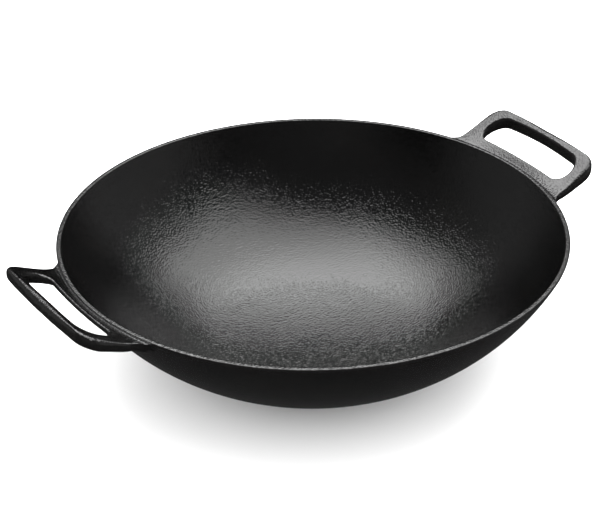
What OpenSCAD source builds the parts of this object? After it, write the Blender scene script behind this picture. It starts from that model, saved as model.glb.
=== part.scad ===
// Cast iron wok with two loop handles.
// One casting, drawn as its named regions: floor, wall, rim and two loop handles.
// Origin at the middle of the flat base, +Z up, +X through the right handle.

/* [Bowl] */
// Outer diameter at the rim
rim_d = 361; // [320:1:400]
// Height of the rim above the flat base
bowl_h = 95; // [85:1:110]
// Diameter of the flat base
base_d = 130; // [112:1:150]
// How far the wall bulges outwards from a straight cone
wall_bulge = 16.2; // [13:0.1:19]
// Thickness of the wall above the floor's blend, square to its surface
wall_t = 3.8; // [3.2:0.1:5]
// Thickness of the floor in the middle, where it is thinnest
floor_t = 4.2; // [3.4:0.1:6]
// Radius of the floor's gently dished inside
floor_dish_r = 450; // [300:5:900]
// Radius of the blend from the dished floor into the wall
floor_blend_r = 130; // [90:1:150]
// Rounding of both edges of the rim
rim_round = 1.3; // [0.8:0.1:1.5]
// Height of the band of wall that counts as the rim
rim_band_h = 14; // [12:0.5:20]

/* [Handle outline] */
// Width of a handle across its two arms
handle_w = 117.4; // [106:0.2:128]
// How far a handle reaches beyond the rim, measured level
handle_reach = 36.4; // [34:0.1:42]
// Slope of a handle, rising outwards, in degrees
handle_tilt = 27.4; // [18:0.2:32]
// How far the handle's sloping top starts above the wall's top edge
handle_lift = 1.4; // [0:0.1:2.5]
// Radius of the gentle outward bow of the grip
grip_bow_r = 430; // [300:5:600]
// Radius of the outer corners
corner_r = 13; // [10:0.5:18]
// Radius of the fillet between an arm and the rim
shoulder_r = 9; // [5:0.5:12]

/* [Finger opening] */
// Width of an arm at the end of the opening
arm_w = 12.8; // [10:0.1:15]
// Width of the grip bar, measured level
grip_w = 7.7; // [6.5:0.1:9]
// Width of the web between the rim and the opening
web_w = 7.6; // [6:0.1:9]
// Radius of the bow of the opening's inner edge
web_bow_r = 400; // [280:5:600]

/* [Handle thickness] */
// Thickness of the web, measured upright
web_t = 4; // [3.4:0.1:5]
// Depth of the grip bar, measured upright
grip_depth = 9.9; // [8.5:0.1:12]
// Rounding of the bar's edges
bar_round = 3; // [1.5:0.1:3.4]
// Rounding of the web's edge at the opening
web_round = 1.2; // [0.6:0.1:1.4]
// Fillet between the underside of a handle and the wall
root_fillet = 4; // [2:0.5:6]
// Level length over which a handle's top runs down to the rim
rim_blend = 18; // [12:1:24]
// Clearance that keeps a handle's root just off the wall
root_gap = 0.02; // [0.01:0.01:0.05]

/* [Hidden] */
$fn = 180;
iron_colour = [0.13, 0.13, 0.135];
// One overrun serves every cut
overrun = 1;

// Shares of the opening's own width that its corner radii take
inner_corner_share = 0.4;
outer_corner_share = 0.56;
// A rounded edge takes no more than this share of the bar or web that it is on
round_limit_share = 0.46;
// Depth round the loop, from the web (0) to the grip (6), from web_t (0) to grip_depth (1)
opening_depth_shares = [[0, 0], [1, 0], [2, 0.5], [3, 0.75], [4, 0.95], [5, 1], [6, 1]];
outside_depth_shares = [[0, 0.1], [1, 0.12], [2, 0.25], [3, 0.25], [4, 0.92], [5, 1], [6, 1]];
// How free of the wall a section's outer end is, from 0 on the wall to 1 in the open
free_shares = [[0, 0], [2, 0], [3, 1], [6, 1]];
// Where one stretch of the loop hands over to the next, as shares of each arc
inner_corner_stop_share = 0.6;
outer_corner_stop_share = 0.35;
web_arc_share = 0.66;
// Sections on each of the six stretches of half a handle
stretch_steps = [6, 6, 5, 4, 6, 8];
// Steps in each rounded edge, along the top and along the underside of a section
round_steps = 2;
top_steps = 4;
under_steps = 6;
// Steps in each rounded edge of the rim, and up each of its two faces
rim_round_steps = 5;
rim_face_steps = 4;

rim_r = rim_d / 2;
base_r = base_d / 2;
// Top of the wall's outer surface, where the rim's rounding starts
wall_top = bowl_h - rim_round;

// The wall's outer surface is one arc from the edge of the base to the rim
chord_run = rim_r - base_r;
chord = norm([chord_run, wall_top]);
wall_r = (chord * chord / 4 + wall_bulge * wall_bulge) / (2 * wall_bulge);
arc_x = (rim_r + base_r) / 2 - wall_top / chord * (wall_r - wall_bulge);
arc_z = wall_top / 2 + chord_run / chord * (wall_r - wall_bulge);
inner_r = wall_r - wall_t;
function wall_out(z) = arc_x + sqrt(pow(wall_r, 2) - pow(z - arc_z, 2));
function wall_in(z) = arc_x + sqrt(pow(inner_r, 2) - pow(z - arc_z, 2));

// The floor's blend is tangent to the dish and to the wall's inner surface: its centre lies on two circles
// round the centres of those arcs
dish_z = floor_t + floor_dish_r;
from_wall = inner_r - floor_blend_r;
from_dish = floor_dish_r - floor_blend_r;
apart = norm([arc_x, dish_z - arc_z]);
towards_dish = [-arc_x, dish_z - arc_z] / apart;
blend_share = (pow(from_wall, 2) - pow(from_dish, 2) + pow(apart, 2)) / (2 * apart);
blend_side = sqrt(pow(from_wall, 2) - pow(blend_share, 2));
blend = [arc_x, arc_z] + towards_dish * blend_share + [towards_dish.y, -towards_dish.x] * blend_side;
blend_top = arc_z + (blend.y - arc_z) * inner_r / from_wall;
dish_edge = blend.x * floor_dish_r / from_dish;

// Points that round a corner b of the path a, b, c with radius r
function unit(v) = v / norm(v);
function round_corner(a, b, c, r, steps) =
    let (u = unit(a - b), v = unit(c - b), half = acos(u * v) / 2,
         centre = b + unit(u + v) * r / sin(half), back = r / tan(half),
         from = b + u * back - centre, to = b + v * back - centre)
    [for (i = [0:steps]) centre + r * unit(from * (steps - i) / steps + to * i / steps)];

module cavity_section() {
    intersection() {
        translate([arc_x, arc_z]) circle(r = inner_r);
        translate([0, blend_top]) square([rim_d, bowl_h]);
    }
    intersection() {
        translate(blend) circle(r = floor_blend_r);
        translate([dish_edge, 0]) square([rim_d, blend_top]);
    }
    intersection() {
        translate([0, dish_z]) circle(r = floor_dish_r);
        square([dish_edge, bowl_h]);
    }
}

module bowl_section() {
    difference() {
        intersection() {
            translate([arc_x, arc_z]) circle(r = wall_r);
            square([rim_d, bowl_h]);
        }
        cavity_section();
    }
}

module bowl_floor() {
    color(iron_colour)
    rotate_extrude()
    intersection() {
        bowl_section();
        square([base_r, bowl_h]);
    }
}

module bowl_wall() {
    color(iron_colour)
    rotate_extrude()
    intersection() {
        bowl_section();
        translate([base_r, 0]) square([rim_d, bowl_h - rim_band_h]);
    }
}

module bowl_rim() {
    low = bowl_h - rim_band_h;
    outer_edge = [wall_out(bowl_h), bowl_h];
    inner_edge = [wall_in(bowl_h), bowl_h];
    below = bowl_h - 2 * rim_round;
    outside = [for (i = [0:rim_face_steps - 1]) let (z = low + (below - low) * i / rim_face_steps) [wall_out(z), z]];
    inside = [for (i = [0:rim_face_steps - 1]) let (z = low + (below - low) * i / rim_face_steps) [wall_in(z), z]];
    color(iron_colour)
    rotate_extrude()
    polygon(concat(
        outside,
        round_corner([wall_out(below), below], outer_edge, inner_edge, rim_round, rim_round_steps),
        round_corner(outer_edge, inner_edge, [wall_in(below), below], rim_round, rim_round_steps),
        [for (i = [1:rim_face_steps]) inside[rim_face_steps - i]]));
}

// Outline of a handle seen from above, for the half at +Y of the right handle
hand_r = handle_w / 2;
opening_r = hand_r - arm_w;
grip_x = rim_r + handle_reach;
bow_x = grip_x - grip_bow_r;
bar_in_r = grip_bow_r - grip_w;
web_bow_x = rim_r + web_w - web_bow_r;

// Width of the opening at its ends, and the radii and centres of the corners
opening_in_x = web_bow_x + sqrt(pow(web_bow_r, 2) - pow(opening_r, 2));
opening_out_x = bow_x + sqrt(pow(bar_in_r, 2) - pow(opening_r, 2));
opening_w = opening_out_x - opening_in_x;
in_corner_r = opening_w * inner_corner_share;
out_corner_r = opening_w * outer_corner_share;
in_corner_y = opening_r - in_corner_r;
out_corner_y = opening_r - out_corner_r;
corner_y = hand_r - corner_r;
in_corner = [web_bow_x + sqrt(pow(web_bow_r + in_corner_r, 2) - pow(in_corner_y, 2)), in_corner_y];
out_corner = [bow_x + sqrt(pow(bar_in_r - out_corner_r, 2) - pow(out_corner_y, 2)), out_corner_y];
corner = [bow_x + sqrt(pow(grip_bow_r - corner_r, 2) - pow(corner_y, 2)), corner_y];

// Angles at which one arc hands over to the next, seen from the arcs' own centres
web_end = atan2(in_corner.y, in_corner.x - web_bow_x);
bar_end = atan2(out_corner.y, out_corner.x - bow_x);
bow_end = atan2(corner.y, corner.x - bow_x);

// The shoulder fillet touches the arm's side and the wall, whose radius there is r
shoulder_y = hand_r + shoulder_r;
function shoulder(r) = [sqrt(pow(r + shoulder_r, 2) - pow(shoulder_y, 2)), shoulder_y];
function tip_angle(r) = atan2(shoulder(r).y, shoulder(r).x);
function on_arc(centre, r, angle) = centre + r * [cos(angle), sin(angle)];
function mix(a, b, t) = a + (b - a) * t;

// Edge of the opening on stretch k (0 to 5), at share t of that stretch
function opening_edge(k, t) =
    k == 0 ? on_arc([web_bow_x, 0], web_bow_r, web_end * t)
    : k == 1 ? on_arc(in_corner, in_corner_r, mix(180 + web_end, 90, inner_corner_stop_share * t))
    : k == 2 ? on_arc(in_corner, in_corner_r, mix(180 + web_end, 90, mix(inner_corner_stop_share, 1, t)))
    : k == 3 ? on_arc(out_corner, out_corner_r, mix(90, bar_end, outer_corner_stop_share * t))
    : k == 4 ? on_arc(out_corner, out_corner_r, mix(90, bar_end, mix(outer_corner_stop_share, 1, t)))
    : on_arc([bow_x, 0], bar_in_r, bar_end * (1 - t));

// Outside edge on the same stretches, where the wall's radius is r
function outside_edge(k, t, r) =
    k == 0 ? on_arc([0, 0], r, tip_angle(r) * web_arc_share * t)
    : k == 1 ? on_arc([0, 0], r, tip_angle(r) * mix(web_arc_share, 1, t))
    : k == 2 ? on_arc(shoulder(r), shoulder_r, mix(180 + tip_angle(r), 270, t))
    : k == 3 ? [mix(shoulder(r).x, corner.x, t), hand_r]
    : k == 4 ? on_arc(corner, corner_r, mix(90, bow_end, t))
    : on_arc([bow_x, 0], grip_bow_r, bow_end * (1 - t));

// Height of the sloping top, which fades into the wall's top edge at the bowl
function plane_z(x) = wall_top + handle_lift + (x - rim_r) * tan(handle_tilt);
function top_z(p) =
    let (s = p * max(1, rim_r / norm(p)),
         fade = pow(1 - min((norm(s) - rim_r) / rim_blend, 1), 2))
    plane_z(s.x) + (wall_top - plane_z(rim_r * s.x / norm(s))) * fade;

// How far the underside drops at distance d from the wall
function fillet_drop(d) =
    let (left = max(root_fillet - d, 0))
    root_fillet - sqrt(pow(root_fillet, 2) - pow(left, 2));

bar_edge = min(bar_round, grip_w * round_limit_share);
web_edge = min(web_round, web_t * round_limit_share);
quarter = [for (i = [0:round_steps]) 90 * i / round_steps];
last_side = 2 * round_steps + 1;

// A point of a section: along the line from a to b by the distance d, and down from the top by drop
function along(a, b, d) = a + (b - a) * d / norm(b - a);
function below_top(p, drop) = [p.x, p.y, top_z(p) - drop];

// One section across the loop: up the opening's edge, along the top, down the outside and back
function section(k, t) =
    let (at = k + t,
         free = lookup(at, free_shares),
         depth_share = lookup(at, opening_depth_shares),
         depth_in = mix(web_t, grip_depth, depth_share),
         depth_out = mix(web_t, grip_depth, lookup(at, outside_depth_shares)),
         full_out = depth_out + root_fillet * (1 - free),
         edge_in = mix(web_edge, bar_edge, depth_share),
         a = opening_edge(k, t),
         // inset and drop of the rounded outside, from the top down
         side = concat([for (q = quarter) bar_edge * [1 - sin(q), 1 - cos(q)]],
                       [for (q = quarter) [bar_edge * (1 - cos(q)), depth_out - bar_edge * (1 - sin(q))]]),
         outside = [for (j = [0:last_side])
             let (drop = mix(full_out * j / last_side, side[j][1], free),
                  r = mix(wall_out(wall_top - drop), rim_r, free) + root_gap,
                  p = along(outside_edge(k, t, r), a, side[j][0] * free))
             below_top(p, drop)],
         b = [outside[0].x, outside[0].y],
         c = [outside[last_side].x, outside[last_side].y],
         width = norm(c - a))
    concat(
        [for (q = quarter) let (d = edge_in * (1 - sin(q)))
            below_top(along(a, c, d), mix(depth_in, depth_out, d / width) - edge_in * (1 - cos(q)))],
        [for (q = quarter) below_top(along(a, b, edge_in * (1 - cos(q))), edge_in * (1 - sin(q)))],
        [for (i = [1:top_steps - 1]) below_top(mix(along(a, b, edge_in), b, i / top_steps), 0)],
        outside,
        [for (i = [1:under_steps - 1])
            let (d = (width - edge_in) * pow(i / under_steps, 2))
            below_top(along(c, a, d), mix(depth_out, depth_in, d / width) + fillet_drop(d) * (1 - free))]);

module handle_loop() {
    half = concat([for (k = [0:5]) for (i = [0:stretch_steps[k] - 1]) section(k, i / stretch_steps[k])],
                  [section(5, 1)]);
    last = len(half) - 1;
    rings = concat(half, [for (i = [1:last - 1]) [for (p = half[last - i]) [p.x, -p.y, p.z]]]);
    n = len(rings);
    m = len(rings[0]);
    polyhedron(
        points = [for (ring = rings) each ring],
        faces = [for (i = [0:n - 1]) for (j = [0:m - 1])
            let (next = (i + 1) % n, up = (j + 1) % m)
            each [[i * m + j, i * m + up, next * m + up], [i * m + j, next * m + up, next * m + j]]],
        convexity = 6);
}

// The loop is cut into its web, two arms and grip by upright planes
split_x = in_corner.x;
split_y = corner.y;
module handle_cut(low, size) {
    color(iron_colour)
    intersection() {
        handle_loop();
        translate([low.x, low.y, 0]) cube([size.x, size.y, 2 * bowl_h]);
    }
}
outer_x = grip_x + overrun - split_x;
side_y = handle_w - split_y;
module handle_web() handle_cut([0, -handle_w], [split_x, 2 * handle_w]);
module handle_front_arm() handle_cut([split_x, -handle_w], [outer_x, side_y]);
module handle_rear_arm() handle_cut([split_x, split_y], [outer_x, side_y]);
module handle_grip() handle_cut([split_x, -split_y], [outer_x, 2 * split_y]);

bowl_floor();
bowl_wall();
bowl_rim();
handle_web();  // right_handle_web
handle_front_arm();  // right_handle_front_arm
handle_rear_arm();  // right_handle_rear_arm
handle_grip();  // right_handle_grip
mirror([1, 0, 0]) handle_web();  // left_handle_web
mirror([1, 0, 0]) handle_front_arm();  // left_handle_front_arm
mirror([1, 0, 0]) handle_rear_arm();  // left_handle_rear_arm
mirror([1, 0, 0]) handle_grip();  // left_handle_grip
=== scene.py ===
from math import atan, atan2, cos, hypot, pi, radians, sin, sqrt, tan

import bmesh
import bpy
import numpy as np
from mathutils import Matrix, Vector, noise


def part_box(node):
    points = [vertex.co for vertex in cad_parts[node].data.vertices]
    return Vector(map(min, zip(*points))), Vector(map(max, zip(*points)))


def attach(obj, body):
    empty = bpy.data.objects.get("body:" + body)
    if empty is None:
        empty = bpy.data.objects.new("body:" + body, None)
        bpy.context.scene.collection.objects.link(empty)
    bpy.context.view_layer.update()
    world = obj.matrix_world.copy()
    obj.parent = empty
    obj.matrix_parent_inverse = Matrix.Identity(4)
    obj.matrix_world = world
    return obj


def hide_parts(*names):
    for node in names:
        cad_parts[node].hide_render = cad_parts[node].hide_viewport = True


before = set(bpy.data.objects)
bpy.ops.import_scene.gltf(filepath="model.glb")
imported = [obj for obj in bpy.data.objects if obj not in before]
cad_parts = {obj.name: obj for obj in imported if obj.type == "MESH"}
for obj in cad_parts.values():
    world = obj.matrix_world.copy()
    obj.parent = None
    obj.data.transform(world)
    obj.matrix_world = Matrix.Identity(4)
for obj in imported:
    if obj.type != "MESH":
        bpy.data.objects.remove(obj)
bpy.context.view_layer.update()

MM = 0.001

# The casting's sizes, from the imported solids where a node's box gives them
GRIP_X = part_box("right_handle_grip")[1].x
BOWL_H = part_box("bowl_rim")[1].z
RIM_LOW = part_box("bowl_rim")[0].z
HANDLE_REACH = 36.4 * MM
RIM_R = GRIP_X - HANDLE_REACH
BASE_R = 65 * MM
WALL_BULGE = 16.2 * MM
WALL_T = 3.8 * MM
FLOOR_T = 4.2 * MM
FLOOR_DISH_R = 450 * MM
FLOOR_BLEND_R = 130 * MM
BASE_ROUND = 4 * MM
RIM_ROUND = 1.3 * MM

# Outline of a handle seen from above
HANDLE_W = 117.4 * MM
GRIP_BOW_R = 430 * MM
CORNER_R = 13 * MM
SHOULDER_R = 9 * MM
ARM_W = 12.8 * MM
GRIP_W = 7.7 * MM
WEB_W = 7.6 * MM
WEB_BOW_R = 400 * MM
INNER_CORNER_SHARE, OUTER_CORNER_SHARE = 0.4, 0.56
INNER_STOP_SHARE, OUTER_STOP_SHARE, WEB_ARC_SHARE = 0.6, 0.35, 0.66

# Heights and thicknesses of a handle
TILT = radians(27.4)
LIFT = 1.4 * MM
WEB_T = 4 * MM
GRIP_DEPTH = 9.9 * MM
BAR_ROUND = 3 * MM
WEB_ROUND = 1.2 * MM
TOP_ROUND_SHARE = 0.75
CROWN_SHARE = 0.45
EDGE_SHARE = 0.46
ROOT_FILLET = 4 * MM
TOP_FILLET = 1.5 * MM
RIM_BLEND = 18 * MM
SUNK = 0.05 * MM

# What changes along a handle, as rows of (stretches passed, value). Stretch 0 starts in the middle
# of the web, and stretch 5 stops in the middle of the grip
OPENING_TOP_ROUND = ((1, 1.85 * MM), (2, 2.2 * MM), (3, 2.6 * MM), (4, 2.6 * MM), (5, 2.2 * MM))
OUTSIDE_TOP_ROUND = ((0, 4 * MM), (3, 5 * MM), (4, 5 * MM), (5, 4.5 * MM))
LEAN = ((3, 0), (4, 0.5 * MM), (5, 0.7 * MM))
OPENING_DEPTH_SHARES = ((1, 0), (2, 0.5), (3, 0.75), (4, 0.95), (5, 1))
OUTSIDE_DEPTH_SHARES = ((0, 0.1), (1, 0.12), (2, 0.25), (3, 0.25), (4, 0.92), (5, 1))
FREE_SHARES = ((2, 0), (3, 1))

# Wear along the edges, and a painted sheen on the handles' tops, from none at 0 to bright at 1
FOOT_WEAR, RIM_WEAR = 0.7, 1
OUTSIDE_WEAR, OUTSIDE_LOW_WEAR = 1, 0.6
# The last value on the next line is a painted sheen that lightens the handles' tops
OPENING_WEAR, OPENING_LOW_WEAR, TOP_SHEEN = 0.9, 0.5, 0.25

# Fineness of the meshes
TURNS = 288
BASE_STEPS, FOOT_STEPS, WALL_STEPS, RIM_STEPS = 14, 5, 60, 8
INNER_STEPS, BLEND_STEPS, DISH_STEPS = 40, 36, 24
STRETCH_STEPS = (20, 22, 14, 12, 16, 30)
ROUND_STEPS, TOP_STEPS, UNDER_STEPS = 8, 10, 10
TOP_CROWDING, UNDER_CROWDING = 1.8, 2
SAME_POINT = 0.001 * MM

# Unevenness of the cast handles: depth and length of the waves
HAND_WAVES = ((0.22 * MM, 26 * MM), (0.12 * MM, 9 * MM))

# The skin of the casting: lengths and depths of its bumps, colours and roughness
PEBBLE, PEBBLE_DEPTH = 1.2 * MM, 0.25 * MM
SWELL, SWELL_DEPTH, SWELL_DETAIL = 22 * MM, 0.12 * MM, 2.0
PATCH, PATCH_DETAIL, PATCH_FINENESS = 60 * MM, 3.0, 0.55
DARK, WARM = (0.001, 0.001, 0.001, 1), (0.0016, 0.0015, 0.0014, 1)
# The bare grey of worn edges, which also paints a lighter sheen onto the handles' tops
BARE_AND_SHEEN = (0.006, 0.0058, 0.0056, 1)
BARE_AND_SHEEN_SHARE = 0.35
WARM_FROM, WARM_TO = 0.4, 0.7
ROUGH_FROM, ROUGH_TO = 0.3, 0.7
SMOOTH, ROUGH = 0.11, 0.14
SKIN_IOR = 1.5

# The studio: a pale floor, a white world, and rectangular lamps as rows of (azimuth from +Y towards +X,
# elevation, width, height, radiance, roll, distance), with one more that lies on the floor
FLOOR_REACH, FLOOR_PAINT, FLOOR_ROUGHNESS = 12, (0.86, 0.86, 0.86), 0.9
WORLD_STRENGTH = 2.6
NEAR_LAMP, HIGH_LAMP = 1.6, 2.5
SOFTBOXES = {
    "overhead_softbox": (59, 68.5, 1.95, 1.7, 3.65, -18, NEAR_LAMP),
    "rear_softbox": (18, 56, 1.5, 1.1, 2.5, 4, NEAR_LAMP),
    "spill_softbox": (44, 60.5, 2.15, 2.45, 0.3, 52, NEAR_LAMP),
    "canopy": (0, 90, 6, 6, 0.12, 0, HIGH_LAMP),
    "right_fill": (115, 20, 2.4, 1.2, 0.36, 0, NEAR_LAMP),
    "left_fill": (325, 18, 2.4, 1.1, 0.27, 0, NEAR_LAMP),
    "front_fill": (213, 20, 3, 1.2, 0.14, 0, NEAR_LAMP),
}
BOUNCE_HEIGHT, BOUNCE_WIDTH, BOUNCE_RADIANCE = 1 * MM, 1.5, 0.05

# The photograph's camera
CAMERA_AT = Vector((-661.1, -984.2, 756.8)) * MM
CAMERA_AZIMUTH, CAMERA_ELEVATION, CAMERA_ROLL = radians(-33.441), radians(29.979), radians(-0.729)
SENSOR_WIDTH = 36
FOCAL_SHARE = 1925.63 / 600
CAMERA_NEAR, CAMERA_FAR = 0.05, 50


# Arcs of the bowl's section
WALL_TOP = BOWL_H - RIM_ROUND
CHORD_RUN = RIM_R - BASE_R
CHORD = hypot(CHORD_RUN, WALL_TOP)
WALL_R = (CHORD ** 2 / 4 + WALL_BULGE ** 2) / (2 * WALL_BULGE)
ARC_X = (RIM_R + BASE_R) / 2 - WALL_TOP / CHORD * (WALL_R - WALL_BULGE)
ARC_Z = WALL_TOP / 2 + CHORD_RUN / CHORD * (WALL_R - WALL_BULGE)
INNER_R = WALL_R - WALL_T


def on_arc(x, y, radius, angle):
    return Vector((x + radius * cos(angle), y + radius * sin(angle)))


def on_wall(z, radius):
    """Distance from the bowl's axis to the wall's arc of that radius, at height z."""
    return ARC_X + sqrt(radius ** 2 - (z - ARC_Z) ** 2)


def arc_points(centre, radius, start, stop, steps):
    """Points and normals along an arc, for angles start to stop. Where the radius is negative, the
    normals point inwards."""
    out = []
    for i in range(steps + 1):
        a = start + (stop - start) * i / steps
        n = Vector((cos(a), sin(a)))
        out.append((Vector(centre) + abs(radius) * n, n if radius > 0 else -n))
    return out


def line_points(a, b, normal, steps):
    return [(Vector(a).lerp(Vector(b), i / steps), Vector(normal)) for i in range(steps + 1)]


def rounding(a, b, c, radius):
    """Centre of the arc that rounds corner b of the path a, b, c, and its first and last angle."""
    u, v = (Vector(a) - Vector(b)).normalized(), (Vector(c) - Vector(b)).normalized()
    half = u.angle(v) / 2
    centre = Vector(b) + (u + v).normalized() * radius / sin(half)
    back = radius / tan(half)
    start, stop = Vector(b) + u * back - centre, Vector(b) + v * back - centre
    return centre, atan2(start.y, start.x), atan2(stop.y, stop.x)


def rim_roundings():
    """The two arcs of the rim's edge, outside first."""
    below = BOWL_H - 2 * RIM_ROUND
    outer, inner = (on_wall(BOWL_H, WALL_R), BOWL_H), (on_wall(BOWL_H, INNER_R), BOWL_H)
    return (rounding((on_wall(below, WALL_R), below), outer, inner, RIM_ROUND),
            rounding(outer, inner, (on_wall(below, INNER_R), below), RIM_ROUND))


def floor_blend():
    """Centre of the arc that joins the dished floor to the wall."""
    wall = Vector((ARC_X, ARC_Z))
    from_wall, from_dish = INNER_R - FLOOR_BLEND_R, FLOOR_DISH_R - FLOOR_BLEND_R
    across = Vector((0, FLOOR_T + FLOOR_DISH_R)) - wall
    u = across.normalized()
    share = (from_wall ** 2 - from_dish ** 2 + across.length_squared) / (2 * across.length)
    return wall + u * share + Vector((u.y, -u.x)) * sqrt(from_wall ** 2 - share ** 2)


def angle_from(centre, x, z):
    return atan2(z - centre[1], x - centre[0])


def bowl_profile():
    """The bowl's section from the middle of the base round to the middle of the floor.
    Each row is (radius, height, normal across, normal up, wear)."""
    base_x = ARC_X + sqrt((WALL_R - BASE_ROUND) ** 2 - (ARC_Z - BASE_ROUND) ** 2)
    centre, dish = (ARC_X, ARC_Z), (0, FLOOR_T + FLOOR_DISH_R)
    blend = floor_blend()
    foot = angle_from(centre, base_x, BASE_ROUND)
    wall_end, dish_end = angle_from(centre, *blend), angle_from(dish, *blend)
    (out_c, out_a, out_b), (in_c, in_a, in_b) = rim_roundings()
    top_out = angle_from(centre, *on_arc(*out_c, RIM_ROUND, out_a))
    top_in = angle_from(centre, *on_arc(*in_c, RIM_ROUND, in_b))
    parts = [
        (line_points((0, 0), (base_x, 0), (0, -1), BASE_STEPS), 0),
        (arc_points((base_x, BASE_ROUND), BASE_ROUND, -pi / 2, foot, FOOT_STEPS), FOOT_WEAR),
        (arc_points(centre, WALL_R, foot, top_out, WALL_STEPS), 0),
        (arc_points(out_c, RIM_ROUND, out_a, out_b, RIM_STEPS), RIM_WEAR),
        (arc_points(in_c, RIM_ROUND, in_a, in_b, RIM_STEPS), RIM_WEAR),
        (arc_points(centre, -INNER_R, top_in, wall_end, INNER_STEPS), 0),
        (arc_points(blend, -FLOOR_BLEND_R, wall_end, dish_end, BLEND_STEPS), 0),
        (arc_points(dish, -FLOOR_DISH_R, dish_end, -pi / 2, DISH_STEPS), 0),
    ]
    rows = [(p.x, p.y, n.x, n.y, wear_and_sheen) for points, wear_and_sheen in parts for p, n in points]
    merged = [rows[0]]
    for row in rows[1:]:
        if hypot(row[0] - merged[-1][0], row[1] - merged[-1][1]) > SAME_POINT:
            merged.append(row)
    return np.array(merged)


def split_at(rows, column, value):
    """Adds a row wherever the section crosses that value. Returns the rows and the new ones' indices."""
    out, marks = [rows[0]], []
    for a, b in zip(rows[:-1], rows[1:]):
        if (a[column] - value) * (b[column] - value) < 0:
            marks.append(len(out))
            out.append(a + (b - a) * (value - a[column]) / (b[column] - a[column]))
        elif a[column] == value:
            marks.append(len(out) - 1)
        out.append(b)
    return np.array(out), marks


def revolve(rows, cut_after):
    """Vertices, faces, corner normals and wear of a turned solid. A flat cut follows row
    cut_after - 1, and another closes the last row to the first where neither lies on the axis."""
    angles = np.arange(TURNS) * 2 * pi / TURNS
    c, s = np.cos(angles), np.sin(angles)
    verts, wear_and_sheen, normals, ids = [], [], [], []
    for r, z, across, up, worn_and_sheen in rows:
        on_axis = r < SAME_POINT
        step = slice(0, 1) if on_axis else slice(None)
        first = len(wear_and_sheen)
        level = np.ones_like(c[step])
        verts.extend(np.stack([r * c[step], r * s[step], z * level], 1).tolist())
        normals.extend(np.stack([across * c[step], across * s[step], up * level], 1).tolist())
        wear_and_sheen.extend([worn_and_sheen] * len(level))
        ids.append([first] * TURNS if on_axis else list(range(first, first + TURNS)))
    last = len(rows) - 1
    pairs = [(i, i + 1, i + 1 == cut_after) for i in range(last)]
    if rows[0][0] > SAME_POINT:
        pairs.append((last, 0, True))
    faces, corners = [], []
    for a, b, cut in pairs:
        for i in range(TURNS):
            j = (i + 1) % TURNS
            face = list(dict.fromkeys((ids[a][i], ids[a][j], ids[b][j], ids[b][i])))
            faces.append(face)
            corners.extend([flat_normal(verts, face)] * len(face) if cut else [normals[k] for k in face])
    return verts, faces, corners, wear_and_sheen


def flat_normal(verts, face):
    a, b, c = (Vector(verts[k]) for k in face[:3])
    return tuple((b - a).cross(c - a).normalized())


def lookup(at, table):
    keys, values = zip(*table)
    return float(np.interp(at, keys, values))


def mix(a, b, t):
    return a + (b - a) * t


# Arcs of a handle's outline, for the half at +Y of the right handle
HAND_R = HANDLE_W / 2
OPENING_R = HAND_R - ARM_W
BOW_X = GRIP_X - GRIP_BOW_R
BAR_IN_R = GRIP_BOW_R - GRIP_W
WEB_BOW_X = RIM_R + WEB_W - WEB_BOW_R
OPENING_IN_X = WEB_BOW_X + sqrt(WEB_BOW_R ** 2 - OPENING_R ** 2)
OPENING_W = BOW_X + sqrt(BAR_IN_R ** 2 - OPENING_R ** 2) - OPENING_IN_X
IN_CORNER_R, OUT_CORNER_R = OPENING_W * INNER_CORNER_SHARE, OPENING_W * OUTER_CORNER_SHARE


def corner_on(bow_x, radius, y):
    return Vector((bow_x + sqrt(radius ** 2 - y ** 2), y))


IN_CORNER = corner_on(WEB_BOW_X, WEB_BOW_R + IN_CORNER_R, OPENING_R - IN_CORNER_R)
OUT_CORNER = corner_on(BOW_X, BAR_IN_R - OUT_CORNER_R, OPENING_R - OUT_CORNER_R)
CORNER = corner_on(BOW_X, GRIP_BOW_R - CORNER_R, HAND_R - CORNER_R)
WEB_END = atan2(IN_CORNER.y, IN_CORNER.x - WEB_BOW_X)
BAR_END = atan2(OUT_CORNER.y, OUT_CORNER.x - BOW_X)
BOW_END = atan2(CORNER.y, CORNER.x - BOW_X)
BAR_EDGE = min(BAR_ROUND, GRIP_W * EDGE_SHARE)
WEB_EDGE = min(WEB_ROUND, WEB_T * EDGE_SHARE)


def opening_edge(k, t):
    """Edge of the opening on stretch k, at share t of it."""
    if k == 0:
        return on_arc(WEB_BOW_X, 0, WEB_BOW_R, WEB_END * t)
    if k in (1, 2):
        share = INNER_STOP_SHARE * t if k == 1 else mix(INNER_STOP_SHARE, 1, t)
        return on_arc(*IN_CORNER, IN_CORNER_R, mix(pi + WEB_END, pi / 2, share))
    if k in (3, 4):
        share = OUTER_STOP_SHARE * t if k == 3 else mix(OUTER_STOP_SHARE, 1, t)
        return on_arc(*OUT_CORNER, OUT_CORNER_R, mix(pi / 2, BAR_END, share))
    return on_arc(BOW_X, 0, BAR_IN_R, BAR_END * (1 - t))


def outside_edge(k, t, r):
    """Outside edge on the same stretches, where the wall's radius is r."""
    y = HAND_R + SHOULDER_R
    shoulder = Vector((sqrt((r + SHOULDER_R) ** 2 - y ** 2), y))
    tip = atan2(y, shoulder.x)
    if k < 2:
        return on_arc(0, 0, r, tip * (WEB_ARC_SHARE * t if k == 0 else mix(WEB_ARC_SHARE, 1, t)))
    if k == 2:
        return on_arc(*shoulder, SHOULDER_R, mix(pi + tip, pi * 1.5, t))
    if k == 3:
        return Vector((mix(shoulder.x, CORNER.x, t), HAND_R))
    if k == 4:
        return on_arc(*CORNER, CORNER_R, mix(pi / 2, BOW_END, t))
    return on_arc(BOW_X, 0, GRIP_BOW_R, BOW_END * (1 - t))


def plane_z(x):
    return WALL_TOP + LIFT + (x - RIM_R) * tan(TILT)


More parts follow.
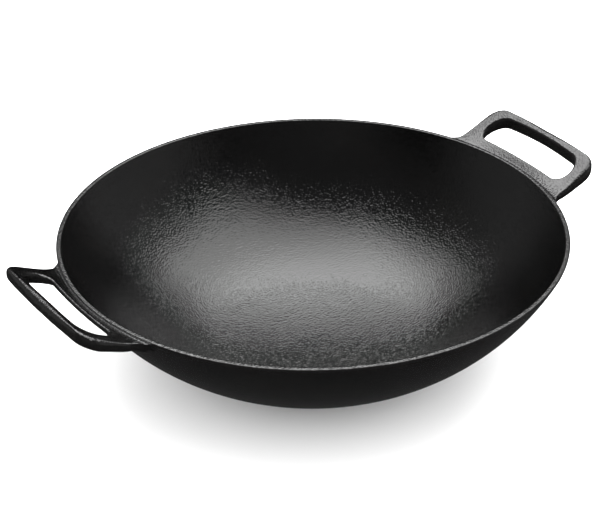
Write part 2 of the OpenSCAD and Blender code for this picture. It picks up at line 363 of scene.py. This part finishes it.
def rim_fillet():
    """The small fillet from a handle's top to the rim: its centre's radius, and where it meets the rim."""
    centre, _, _ = rim_roundings()[0]
    high = WALL_TOP + TOP_FILLET - centre.y
    away = sqrt((RIM_ROUND + TOP_FILLET) ** 2 - high ** 2)
    share = RIM_ROUND / (RIM_ROUND + TOP_FILLET)
    return centre.x + away, centre.x + away * share


FILLET_X, FILLET_STOP = rim_fillet()


def top_z(x, y):
    """Height of a handle's sloping top, with the fillet that runs it up to the rim."""
    r = hypot(x, y)
    out = max(1, RIM_R / r)
    fade = (1 - min(max(r - RIM_R, 0) / RIM_BLEND, 1)) ** 2
    low = plane_z(x * out) + (WALL_TOP - plane_z(RIM_R * x / r)) * fade
    over = min(max(FILLET_X - r, 0), TOP_FILLET)
    return low + TOP_FILLET - sqrt(TOP_FILLET ** 2 - over ** 2)


def fillet_drop(d):
    left = max(ROOT_FILLET - d, 0)
    return ROOT_FILLET - sqrt(ROOT_FILLET ** 2 - left ** 2)


QUARTER = [pi / 2 * i / ROUND_STEPS for i in range(ROUND_STEPS + 1)]


def round_over(radius, slope, depth):
    """Insets and drops of an edge that an even arc rounds, where the top rises outwards at that slope.
    The arc takes at most its share of the depth. The first row is on the top and the last on the edge."""
    tilt = atan(slope)
    radius = min(radius, TOP_ROUND_SHARE * depth / (1 / cos(tilt) + slope))
    angles = [mix(tilt, -pi / 2, i / ROUND_STEPS) for i in range(ROUND_STEPS + 1)]
    return [(radius * (1 + sin(a)), radius * (1 / cos(tilt) - sin(a) * slope - cos(a))) for a in angles]


def crown_over(radius, slope):
    """How far a top has to rise to bring the crest of such an arc up to that of the plain bar."""
    lift = sqrt(1 + slope ** 2) - 1
    return max(0, radius * (slope + lift) - BAR_ROUND * (slope - lift))


def along(p, q, d):
    return p + (q - p).normalized() * d


def below(p, drop, wear_and_sheen):
    """A row of a section: the point at that drop under a handle's top, straight below p."""
    return (p.x, p.y, top_z(p.x, p.y) - drop, wear_and_sheen)


def outside_points(k, t, a, free, depth, arc, crown):
    """The outside of one section from the top down, as (place, drop, wear). Where the loop isn't
    free of the bowl, the points lie on the wall instead."""
    edge = min(BAR_EDGE, (1 - TOP_ROUND_SHARE) * depth)
    side = [(inset, drop - crown, OUTSIDE_WEAR) for inset, drop in arc]
    side += [(edge * (1 - cos(q)), depth - edge * (1 - sin(q)), OUTSIDE_LOW_WEAR) for q in QUARTER]
    full = depth + ROOT_FILLET * (1 - free)
    out = []
    for j, (inset, drop, wear_and_sheen) in enumerate(side):
        fall = mix(full * j / (len(side) - 1), drop, free)
        r = mix(on_wall(WALL_TOP - fall, WALL_R) - SUNK, RIM_R, free)
        p = along(outside_edge(k, t, r), a, inset * free)
        if j == 0:
            p = mix(p.normalized() * (FILLET_STOP - SUNK), p, free)
        out.append((p, fall, wear_and_sheen * free))
    return out


def section(k, t):
    """One section across the loop, as rows of (x, y, z, wear with painted sheen): up the opening, along the
    top, down the outside and back. The opening's side leans over the opening, and the crown lifts the top."""
    at = k + t
    free, share, lean = (lookup(at, table) for table in (FREE_SHARES, OPENING_DEPTH_SHARES, LEAN))
    depth_in = mix(WEB_T, GRIP_DEPTH, share)
    depth_out = mix(WEB_T, GRIP_DEPTH, lookup(at, OUTSIDE_DEPTH_SHARES))
    edge = min(mix(WEB_EDGE, BAR_EDGE, share), (1 - TOP_ROUND_SHARE) * depth_in)
    a = opening_edge(k, t)
    across = (outside_edge(k, t, RIM_R) - a).normalized().x * tan(TILT)
    outside_round = lookup(at, OUTSIDE_TOP_ROUND)
    crown = crown_over(outside_round, across) * CROWN_SHARE * free
    opening_arc = round_over(lookup(at, OPENING_TOP_ROUND), -across, depth_in + crown)
    outside_arc = round_over(outside_round, across, depth_out + crown)
    outside = outside_points(k, t, a, free, depth_out, outside_arc, crown)
    b, c = outside[0][0], outside[-1][0]
    width = (c - a).length
    inner = along(a, b, opening_arc[0][0] - lean)

    rows = []
    for q in QUARTER:
        d = edge * (1 - sin(q))
        drop = mix(depth_in, depth_out, d / width) - edge * (1 - cos(q))
        rows.append(below(along(a, c, d), drop, OPENING_LOW_WEAR))
    for inset, drop in reversed(opening_arc):
        rows.append(below(along(a, b, inset - lean), drop - crown, OPENING_WEAR))
    # The top rows carry a painted sheen: the handles' tops are made a little lighter
    for i in range(1, TOP_STEPS):
        share_out = 1 - (1 - i / TOP_STEPS) ** mix(TOP_CROWDING, 1, free)
        rows.append(below(inner.lerp(b, share_out), -crown, TOP_SHEEN))
    rows += [below(*point) for point in outside]
    for i in range(1, UNDER_STEPS):
        d = (width - edge) * (i / UNDER_STEPS) ** UNDER_CROWDING
        drop = mix(depth_out, depth_in, d / width) + fillet_drop(d) * (1 - free)
        rows.append(below(along(c, a, d), drop, 0))
    return rows


def smooth_normals(verts, quads):
    """Vertex normals of a mesh of quads, weighted by area."""
    a, b, c, d = (verts[quads[:, i]] for i in range(4))
    area = np.cross(c - a, d - b)
    out = np.zeros_like(verts)
    for i in range(4):
        np.add.at(out, quads[:, i], area)
    return out / np.linalg.norm(out, axis=1, keepdims=True)


def hand_waves(verts, normals):
    """The handle's surface pressed in by gentle waves, which fade out towards the root."""
    free = np.clip((np.hypot(verts[:, 0], verts[:, 1]) - RIM_R - 2 * TOP_FILLET) / RIM_BLEND, 0, 1)
    depth = np.zeros(len(verts))
    for size, length in HAND_WAVES:
        depth += [size * (0.5 + 0.5 * noise.noise(Vector(v) / length)) for v in verts]
    return verts - normals * (depth * free)[:, None]


def handle_loop(side):
    """Vertices, quads, normals, and wear with painted sheen, of one whole handle. Side is 1 for the right
    one, else -1.
    """
    half = [section(k, i / steps) for k, steps in enumerate(STRETCH_STEPS) for i in range(steps)]
    half.append(section(len(STRETCH_STEPS) - 1, 1))
    half = np.array(half)
    rings = np.concatenate([half, (half * (1, -1, 1, 1))[-2:0:-1]])
    n, m = rings.shape[:2]
    i, j = (g.ravel() for g in np.meshgrid(np.arange(n), np.arange(m), indexing="ij"))
    following, up = (i + 1) % n, (j + 1) % m
    quads = np.stack([i * m + j, following * m + j, following * m + up, i * m + up], 1)
    flat = rings.reshape(-1, 4) * (side, 1, 1, 1)
    if side < 0:
        quads = quads[:, ::-1]
    verts = flat[:, :3]
    verts = hand_waves(verts, smooth_normals(verts, quads))
    return verts, quads, smooth_normals(verts, quads), flat[:, 3]


def cut_piece(loop, planes):
    """The part of a handle inside each plane (point, outward normal), closed with flat cuts."""
    verts, quads, normals, wear_and_sheen = loop
    bm = bmesh.new()
    turned, worn_and_sheen = bm.verts.layers.float_vector.new("turned"), bm.verts.layers.float.new("worn_and_sheen")
    made = [bm.verts.new(v) for v in verts]
    for v, n, w in zip(made, normals, wear_and_sheen):
        v[turned], v[worn_and_sheen] = n, w
    for quad in quads:
        bm.faces.new([made[i] for i in quad])
    cuts = set()
    for point, normal in planes:
        everything = bm.verts[:] + bm.edges[:] + bm.faces[:]
        found = bmesh.ops.bisect_plane(bm, geom=everything, plane_co=point, plane_no=normal,
                                       clear_outer=True)
        edges = [e for e in found["geom_cut"] if isinstance(e, bmesh.types.BMEdge)]
        if edges:
            cuts.update(bmesh.ops.holes_fill(bm, edges=edges)["faces"])
    bm.normal_update()
    bm.verts.index_update()
    out = ([v.co[:] for v in bm.verts], [[v.index for v in f.verts] for f in bm.faces],
           [f.normal[:] if f in cuts else v[turned].normalized()[:] for f in bm.faces for v in f.verts],
           [v[worn_and_sheen] for v in bm.verts])
    bm.free()
    return out


def add_piece(name, shape, material, *nodes):
    """A mesh piece that stands for CAD nodes and rides with them."""
    verts, faces, corners, wear_and_sheen = shape
    mesh = bpy.data.meshes.new(name)
    mesh.from_pydata(verts, [], faces)
    mesh.polygons.foreach_set("use_smooth", [True] * len(faces))
    mesh.attributes.new("wear_and_sheen", "FLOAT", "POINT").data.foreach_set("value", wear_and_sheen)
    mesh.normals_split_custom_set(corners)
    mesh.materials.append(material)
    mesh.validate()
    piece = bpy.data.objects.new(name, mesh)
    bpy.context.scene.collection.objects.link(piece)
    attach(piece, "root")
    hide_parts(*nodes)


def add_bowl(material):
    rows, base_marks = split_at(bowl_profile(), 0, BASE_R)
    rows, rim_marks = split_at(rows, 1, RIM_LOW)
    _, base_marks = split_at(rows, 0, BASE_R)
    (b0, b1), (r0, r1) = (base_marks[0], base_marks[-1]), (rim_marks[0], rim_marks[-1])
    floor = np.concatenate([rows[:b0 + 1], rows[b1:]])
    wall = np.concatenate([rows[b0:r0 + 1], rows[r1:b1 + 1]])
    add_piece("cast_bowl_floor", revolve(floor, b0 + 1), material, "bowl_floor")
    add_piece("cast_bowl_wall", revolve(wall, r0 + 1 - b0), material, "bowl_wall")
    add_piece("cast_bowl_rim", revolve(rows[r0:r1 + 1], 0), material, "bowl_rim")


def add_handles(material):
    x, y = IN_CORNER.x, CORNER.y
    for side, hand in ((1, "right"), (-1, "left")):
        loop = handle_loop(side)
        outward = (Vector((side * x, 0, 0)), Vector((side, 0, 0)))
        inward = (outward[0], -outward[1])
        rear, front = Vector((0, y, 0)), Vector((0, -y, 0))
        cuts = {"web": [outward], "front_arm": [inward, (front, Vector((0, 1, 0)))],
                "rear_arm": [inward, (rear, Vector((0, -1, 0)))],
                "grip": [inward, (rear, Vector((0, 1, 0))), (front, Vector((0, -1, 0)))]}
        for part, planes in cuts.items():
            node = f"{hand}_handle_{part}"
            add_piece("cast_" + node, cut_piece(loop, planes), material, node)


class Nodes:
    """Adds linked shader nodes to a tree. An input is named, or _0, _1 and so on for its place."""

    def __init__(self, tree):
        self.tree = tree
        tree.nodes.clear()

    def add(self, kind, settings=None, **inputs):
        node = self.tree.nodes.new(kind)
        for key, value in (settings or {}).items():
            setattr(node, key, value)
        for key, value in inputs.items():
            self.feed(node.inputs[int(key[1:]) if key[0] == "_" else key.replace("_", " ")], value)
        return node

    def feed(self, socket, value):
        if isinstance(value, bpy.types.NodeSocket):
            self.tree.links.new(value, socket)
        else:
            socket.default_value = value

    def math(self, operation, a, b):
        return self.add("ShaderNodeMath", {"operation": operation}, _0=a, _1=b).outputs[0]

    def noise(self, place, length, detail=0.0, roughness=0.5):
        """Noise with features of that length, from about 0 to 1."""
        node = self.add("ShaderNodeTexNoise", Vector=place, Scale=1 / length, Detail=detail,
                        Roughness=roughness)
        return node.outputs["Fac"]

    def bump(self, height, depth, **under):
        return self.add("ShaderNodeBump", Strength=1.0, Distance=depth, Height=height, **under).outputs[0]

    def ramp(self, value, low, high, to_low=0.0, to_high=1.0):
        node = self.add("ShaderNodeMapRange", {"interpolation_type": "SMOOTHSTEP"}, Value=value)
        for key, number in (("From Min", low), ("From Max", high), ("To Min", to_low), ("To Max", to_high)):
            node.inputs[key].default_value = number
        return node.outputs[0]

    def blend(self, share, a, b):
        node = self.add("ShaderNodeMix", {"data_type": "RGBA"})
        for i, value in ((0, share), (6, a), (7, b)):
            self.feed(node.inputs[i], value)
        return node.outputs[2]


def seasoned_iron():
    """Black seasoned casting: a pebbled skin from the sand mould under a satin film of baked oil."""
    material = bpy.data.materials.new("cast_iron_skin")
    material.use_nodes = True
    n = Nodes(material.node_tree)
    place = n.add("ShaderNodeTexCoord").outputs["Object"]
    worn_and_sheen = n.add("ShaderNodeAttribute", {"attribute_name": "wear_and_sheen"}).outputs["Fac"]

    pebbles = n.noise(place, PEBBLE)
    swell = n.noise(place, SWELL, SWELL_DETAIL)
    patches = n.noise(place, PATCH, PATCH_DETAIL, PATCH_FINENESS)
    bump = n.bump(swell, SWELL_DEPTH, Normal=n.bump(pebbles, PEBBLE_DEPTH))

    colour = n.blend(n.ramp(patches, WARM_FROM, WARM_TO), DARK, WARM)
    # Lighter where the mask is high: bare grey iron on worn edges, and a painted sheen on the handles' tops
    colour = n.blend(n.math("MULTIPLY", worn_and_sheen, BARE_AND_SHEEN_SHARE), colour, BARE_AND_SHEEN)
    rough = n.ramp(patches, ROUGH_FROM, ROUGH_TO, SMOOTH, ROUGH)

    shader = n.add("ShaderNodeBsdfPrincipled", Base_Color=colour, Roughness=rough, Normal=bump,
                   IOR=SKIN_IOR)
    out = n.add("ShaderNodeOutputMaterial")
    n.tree.links.new(shader.outputs[0], out.inputs[0])
    return material


def floor_paint():
    material = bpy.data.materials.new("floor_paint")
    material.use_nodes = True
    shader = material.node_tree.nodes["Principled BSDF"]
    shader.inputs["Base Color"].default_value = (*FLOOR_PAINT, 1)
    shader.inputs["Roughness"].default_value = FLOOR_ROUGHNESS
    return material


def add_floor():
    """A plain floor that takes the wok's shadow, and that reflections don't see."""
    mesh = bpy.data.meshes.new("floor")
    corners = [(x * FLOOR_REACH, y * FLOOR_REACH, 0) for x, y in ((-1, -1), (1, -1), (1, 1), (-1, 1))]
    mesh.from_pydata(corners, [], [(0, 1, 2, 3)])
    mesh.materials.append(floor_paint())
    floor = bpy.data.objects.new("floor", mesh)
    bpy.context.scene.collection.objects.link(floor)
    floor.visible_glossy = False


def add_lamp(name, place, turn, width, height, radiance):
    """A rectangular lamp that shines along its own -Z."""
    lamp = bpy.data.lights.new(name, "AREA")
    lamp.shape = "RECTANGLE"
    lamp.size, lamp.size_y = width, height
    lamp.energy = radiance * pi * width * height
    box = bpy.data.objects.new(name, lamp)
    box.matrix_world = Matrix.Translation(place) @ turn.to_4x4()
    bpy.context.scene.collection.objects.link(box)


def add_softbox(name, azimuth, elevation, width, height, radiance, roll, distance):
    """A lamp that faces the wok."""
    a, e = radians(azimuth), radians(elevation)
    place = distance * Vector((sin(a) * cos(e), cos(a) * cos(e), sin(e)))
    turn = (-place).to_track_quat("-Z", "Y").to_matrix() @ Matrix.Rotation(radians(-roll), 3, "Z")
    add_lamp(name, place, turn, width, height, radiance)


def add_lights():
    world = bpy.data.worlds.new("studio")
    bpy.context.scene.world = world
    world.use_nodes = True
    sky = world.node_tree.nodes["Background"]
    sky.inputs[0].default_value = (1, 1, 1, 1)
    sky.inputs[1].default_value = WORLD_STRENGTH
    world.cycles_visibility.glossy = False
    for name, row in SOFTBOXES.items():
        add_softbox(name, *row)
    face_up = Matrix.Rotation(pi, 3, "X")
    place = Vector((0, 0, BOUNCE_HEIGHT))
    add_lamp("table_bounce", place, face_up, BOUNCE_WIDTH, BOUNCE_WIDTH, BOUNCE_RADIANCE)


def add_camera():
    data = bpy.data.cameras.new("camera")
    data.sensor_width = SENSOR_WIDTH
    data.lens = SENSOR_WIDTH * FOCAL_SHARE
    data.clip_start, data.clip_end = CAMERA_NEAR, CAMERA_FAR
    camera = bpy.data.objects.new("camera", data)
    turn = (Matrix.Rotation(CAMERA_AZIMUTH, 3, "Z") @ Matrix.Rotation(pi / 2 - CAMERA_ELEVATION, 3, "X")
            @ Matrix.Rotation(CAMERA_ROLL, 3, "Z"))
    camera.matrix_world = Matrix.Translation(CAMERA_AT) @ turn.to_4x4()
    bpy.context.scene.collection.objects.link(camera)
    bpy.context.scene.camera = camera


def main():
    iron = seasoned_iron()
    add_bowl(iron)
    add_handles(iron)
    add_floor()
    add_lights()
    add_camera()
    bpy.context.scene.view_settings.view_transform = "Standard"


main()
